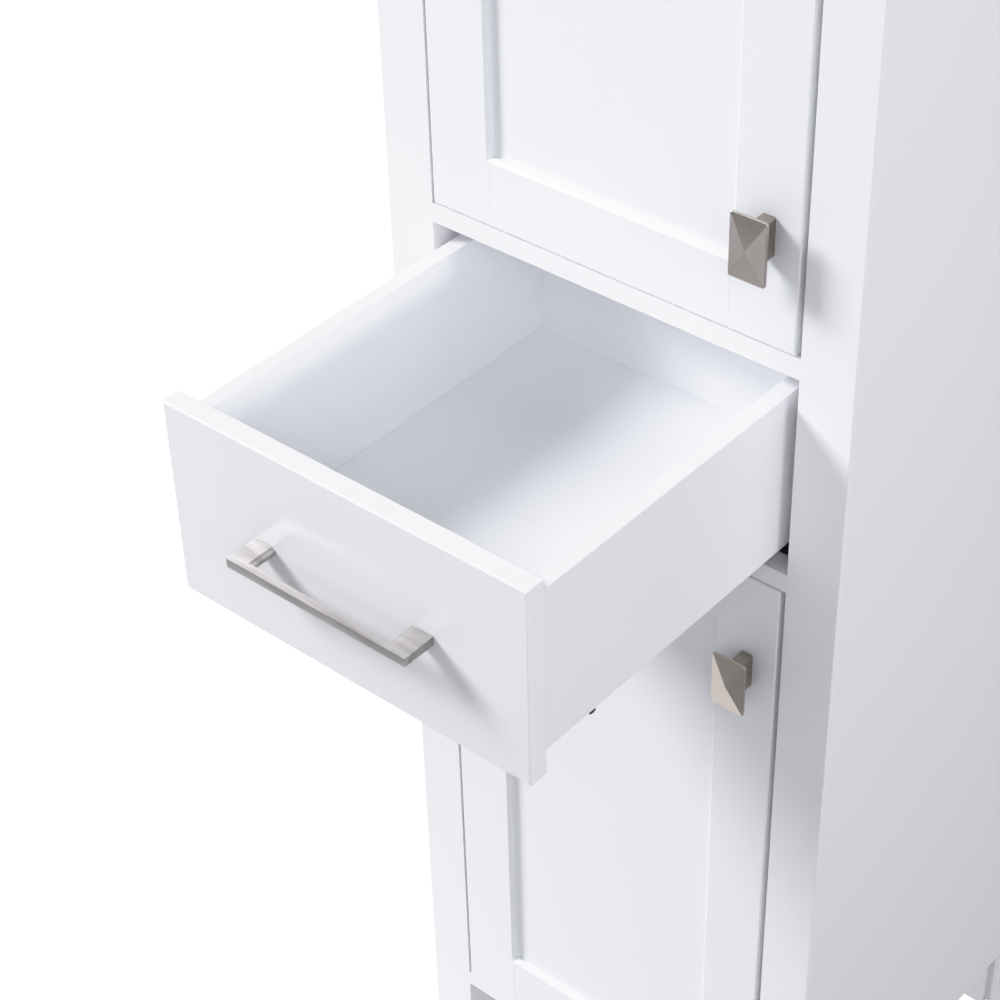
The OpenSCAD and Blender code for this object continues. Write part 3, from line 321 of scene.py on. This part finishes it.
# The clips that lock the drawer to its runners are moulded in dark plastic. Only their release
# tips show, in front under each side of the drawer.
dark_plastic = surface(
    "dark_plastic", (0.045, 0.046, 0.05), (0.03, 0.03, 0.034),
    patch=0.02, smooth=0.38, rough=0.50, grain=0.0006, depth=0.00002
)
ease_edges("runner_clips", dark_plastic, ease=0.0005)

# The drawer box is melamine board: two sides, a sub-front and a back, glued at the corners. The
# bottom lies in grooves of the sides and the sub-front, and runs out under the back.
for node in (
    "drawer_sub_front", "drawer_left_side", "drawer_right_side", "drawer_back", "drawer_bottom"
):
    ease_edges(node, melamine_face, ease=0.0005)

# The drawer front is a slab, painted like the carcass. Four screws from inside the drawer hold it
# to the sub-front.
ease_edges("drawer_front", carcass_paint, ease=0.0003)

# The pull is cast and brushed along its bar, and plated with satin nickel. Two machine screws
# through the drawer front hold it.
brush_marks = 0.7


def brush(finish, across):
    """Spreads a metal's highlights across its brush marks, in a direction of the piece."""
    nodes = finish.node_tree.nodes
    link = finish.node_tree.links.new
    marks = nodes.new("ShaderNodeCombineXYZ")
    for axis, value in zip("XYZ", across):
        marks.inputs[axis].default_value = value
    turned = nodes.new("ShaderNodeVectorTransform")
    turned.vector_type = "VECTOR"
    turned.convert_from = "OBJECT"
    turned.convert_to = "WORLD"
    link(marks.outputs["Vector"], turned.inputs["Vector"])
    nodes["Principled BSDF"].inputs["Anisotropic"].default_value = brush_marks
    link(turned.outputs["Vector"], nodes["Principled BSDF"].inputs["Tangent"])


# The colour drifts widely from pale to dark in streaks along the bar: partly the plating's own
# uneven tone, partly painted reflection, the bright and dark bands a brushed bar mirrors.
satin_nickel = surface(
    "satin_nickel", (0.88, 0.862, 0.835), (0.22, 0.207, 0.193),
    patch=0.008, smooth=0.32, rough=0.42, grain=0.0007, depth=0.000014, metal=1.0,
    stretch=(0.12, 1, 1)
)
brush(satin_nickel, across=(0, 1, 1))
ease_edges("drawer_pull", satin_nickel, ease=0.0004, segments=3)

# Each door is a frame of two stiles and two rails round a thin panel, painted as one, with the
# joints of the frame showing as hairlines.
door_paint = surface(
    "door_paint", (0.849, 0.867, 0.881), (0.837, 0.855, 0.869),
    patch=0.25, smooth=0.17, rough=0.22, grain=0.0018, depth=0.000006, gloss=0.2
)
for door in ("upper", "lower"):
    for member in ("left_stile", "right_stile", "top_rail", "bottom_rail", "panel"):
        ease_edges(f"{door}_door_{member}", door_paint, ease=0.0005)

# A knob is a cast plate on a rectangular stem, plated like the pull. The plate is brushed upright,
# and the stem is coloured darker as painted shade. A machine screw through the stile holds it.
brushed_nickel = surface(
    "brushed_nickel", (0.66, 0.605, 0.54), (0.57, 0.52, 0.455),
    patch=0.01, smooth=0.20, rough=0.28, grain=0.0007, depth=0.00001, metal=1.0,
    stretch=(1, 1, 0.05)
)
brush(brushed_nickel, across=(1, 1, 0))
knob_front = min(corner.co.y for corner in frame["nodes"]["upper_knob"].data.vertices)
plate_depth = 0.0065
# Behind the plate the colour turns to this darker tint: painted shade on the stem.
stem_shade_tint = (0.40, 0.355, 0.305)
nodes = brushed_nickel.node_tree.nodes
link = brushed_nickel.node_tree.links.new
depth = nodes.new("ShaderNodeSeparateXYZ")
link(nodes["Texture Coordinate"].outputs["Object"], depth.inputs["Vector"])
behind_plate = nodes.new("ShaderNodeMath")
behind_plate.operation = "GREATER_THAN"
behind_plate.inputs[1].default_value = knob_front + plate_depth
link(depth.outputs["Y"], behind_plate.inputs[0])
stem_painted_shade = nodes.new("ShaderNodeMix")
stem_painted_shade.data_type = "RGBA"
stem_painted_shade.inputs["B"].default_value = (*stem_shade_tint, 1)
link(behind_plate.outputs["Value"], stem_painted_shade.inputs["Factor"])
link(nodes["Principled BSDF"].inputs["Base Color"].links[0].from_socket, stem_painted_shade.inputs["A"])
link(stem_painted_shade.outputs["Result"], nodes["Principled BSDF"].inputs["Base Color"])
for door in ("upper", "lower"):
    ease_edges(f"{door}_knob", brushed_nickel, ease=0.0005, segments=3, ridge=radians(5))


# The screws are turned from steel with a cross recess in the head and a rolled thread, and zinc
# plated. Wood screws are countersunk, and machine screws have a pan head.
def solids(node):
    """The corner points of each separate solid of a node of the frame."""
    whole = bmesh.new()
    whole.from_mesh(frame["nodes"][node].data)
    bmesh.ops.remove_doubles(whole, verts=whole.verts, dist=same_place)
    seen = set()
    found = []
    for first in whole.verts:
        if first in seen:
            continue
        seen.add(first)
        group = [first]
        for corner in group:
            for edge in corner.link_edges:
                other = edge.other_vert(corner)
                if other not in seen:
                    seen.add(other)
                    group.append(other)
        found.append([corner.co.copy() for corner in group])
    whole.free()
    return found


hair = 1e-5


def screw_seat(points):
    """Where a screw sits: a matrix that turns +Z out of its head and puts the head's top at its
    origin, with its length, the radii of head top, head and shank end, along its own axis."""
    low = Vector([min(p[i] for p in points) for i in range(3)])
    high = Vector([max(p[i] for p in points) for i in range(3)])
    size = high - low
    middle = (low + high) / 2
    axis = min(range(3), key=lambda i: abs(size[i - 1] - size[i - 2]))
    radius = {}
    for end, face in ((-1, low[axis]), (1, high[axis])):
        radius[end] = max(
            ((p - middle) * Vector([i != axis for i in range(3)])).length
            for p in points if abs(p[axis] - face) < hair
        )
    out = 1 if radius[1] > radius[-1] - hair else -1
    way = Vector([out if i == axis else 0 for i in range(3)])
    top = middle + way * size[axis] / 2
    seat = Matrix.Translation(top) @ way.to_track_quat("Z", "Y").to_matrix().to_4x4()
    return seat, size[axis], radius[out], size[axis - 1] / 2, radius[-out]


thread_pitch = 0.0012
thread_root = 0.82
blunt_tip = 0.1
recess_depth = 0.0011
sunk_rim, sunk_depth = 0.15, 0.65
pan_crown, pan_drop, pan_side, pan_depth = 0.93, 0.0006, 0.3, 0.6
turning_steps = 24


def turned_screw(length, top_r, head_r, end_r):
    """A screw with its head's top at the origin and its shank along -Z: countersunk, with a pan
    head, or a setting screw without a head."""
    if top_r > head_r - hair > end_r:
        shank_r = head_r / 2
        under_head = head_r * sunk_depth
        line = [(0, 0), (head_r, 0), (head_r, -head_r * sunk_rim), (shank_r, -under_head)]
    elif head_r > end_r + hair:
        shank_r = end_r
        under_head = head_r * pan_depth
        line = [(0, 0), (top_r, 0), (head_r * pan_crown, -pan_drop), (head_r, -head_r * pan_side)]
        line += [(head_r, -under_head), (shank_r, -under_head)]
    else:
        shank_r = head_r
        under_head = recess_depth
        line = [(0, 0), (head_r, 0), (head_r, -under_head)]
    z = under_head + thread_pitch
    while z < length - 2 * thread_pitch:
        line += [(shank_r, -z), (shank_r * thread_root, -z - thread_pitch / 2)]
        z += thread_pitch
    line += [(shank_r, -z), (max(end_r, shank_r * blunt_tip), -length), (0, -length)]
    screw = bmesh.new()
    corners = [screw.verts.new((r, 0, z)) for r, z in line]
    edges = [screw.edges.new(pair) for pair in zip(corners, corners[1:])]
    bmesh.ops.spin(
        screw, geom=corners + edges, cent=(0, 0, 0), axis=(0, 0, 1), angle=2 * pi,
        steps=turning_steps, use_merge=True
    )
    bmesh.ops.remove_doubles(screw, verts=screw.verts, dist=1e-7)
    bmesh.ops.recalc_face_normals(screw, faces=screw.faces)
    return cut_recess(screw, head_r)


cross_reach, cross_slot, cross_taper = 0.6, 0.45, 0.7


def cut_recess(screw, head_r):
    """Sinks a cross into a screw's head."""
    cross = bmesh.new()
    bmesh.ops.create_grid(cross, x_segments=3, y_segments=3, size=head_r * cross_reach)
    for corner in cross.verts:
        for i in range(2):
            if abs(corner.co[i]) < head_r * cross_reach / 2:
                corner.co[i] *= cross_slot
    tips = [f for f in cross.faces if min(abs(v) for v in f.calc_center_median()[:2]) > 1e-4]
    bmesh.ops.delete(cross, geom=tips, context="FACES")
    top = bmesh.ops.extrude_face_region(cross, geom=cross.faces[:])
    rim = [v for v in top["geom"] if isinstance(v, bmesh.types.BMVert)]
    bmesh.ops.translate(cross, verts=rim, vec=(0, 0, recess_depth))
    floor_corners = [v for v in cross.verts if v not in rim]
    bmesh.ops.scale(cross, verts=floor_corners, vec=(cross_taper, cross_taper, 1))
    bmesh.ops.translate(cross, verts=floor_corners, vec=(0, 0, -recess_depth))
    bmesh.ops.recalc_face_normals(cross, faces=cross.faces)
    pair = []
    for name, shape in (("blank", screw), ("cutter", cross)):
        mesh = bpy.data.meshes.new(name)
        shape.to_mesh(mesh)
        shape.free()
        pair.append(bpy.data.objects.new(name, mesh))
        bpy.context.scene.collection.objects.link(pair[-1])
    recess = pair[0].modifiers.new("recess", "BOOLEAN")
    recess.operation = "DIFFERENCE"
    recess.object = pair[1]
    made = pair[0].evaluated_get(bpy.context.evaluated_depsgraph_get())
    result = bmesh.new()
    result.from_mesh(made.data)
    for thing in pair:
        mesh = thing.data
        bpy.data.objects.remove(thing)
        bpy.data.meshes.remove(mesh)
    return result


for node in (
    "drawer_front_screws", "pull_screws", "upper_knob_screw", "lower_knob_screw",
    "upper_cup_screws", "lower_cup_screws", "hardware_screws"
):
    screws = bmesh.new()
    kinds = {}
    for points in solids(node):
        seat, *sizes = screw_seat(points)
        kind = tuple(round(value, 5) for value in sizes)
        if kind not in kinds:
            kinds[kind] = bpy.data.meshes.new("screw")
            screw = turned_screw(*kind)
            screw.to_mesh(kinds[kind])
            screw.free()
        placed = kinds[kind].copy()
        placed.transform(seat)
        screws.from_mesh(placed)
        bpy.data.meshes.remove(placed)
    for mesh in kinds.values():
        bpy.data.meshes.remove(mesh)
    make_piece("turned_" + node, screws, zinc_plate, node)

# The box of the CAD model and the box of the finished cabinet are gathered side by side.
size = {"cad": [list(cad_low), list(cad_high)], "visual": [list(v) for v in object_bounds()]}
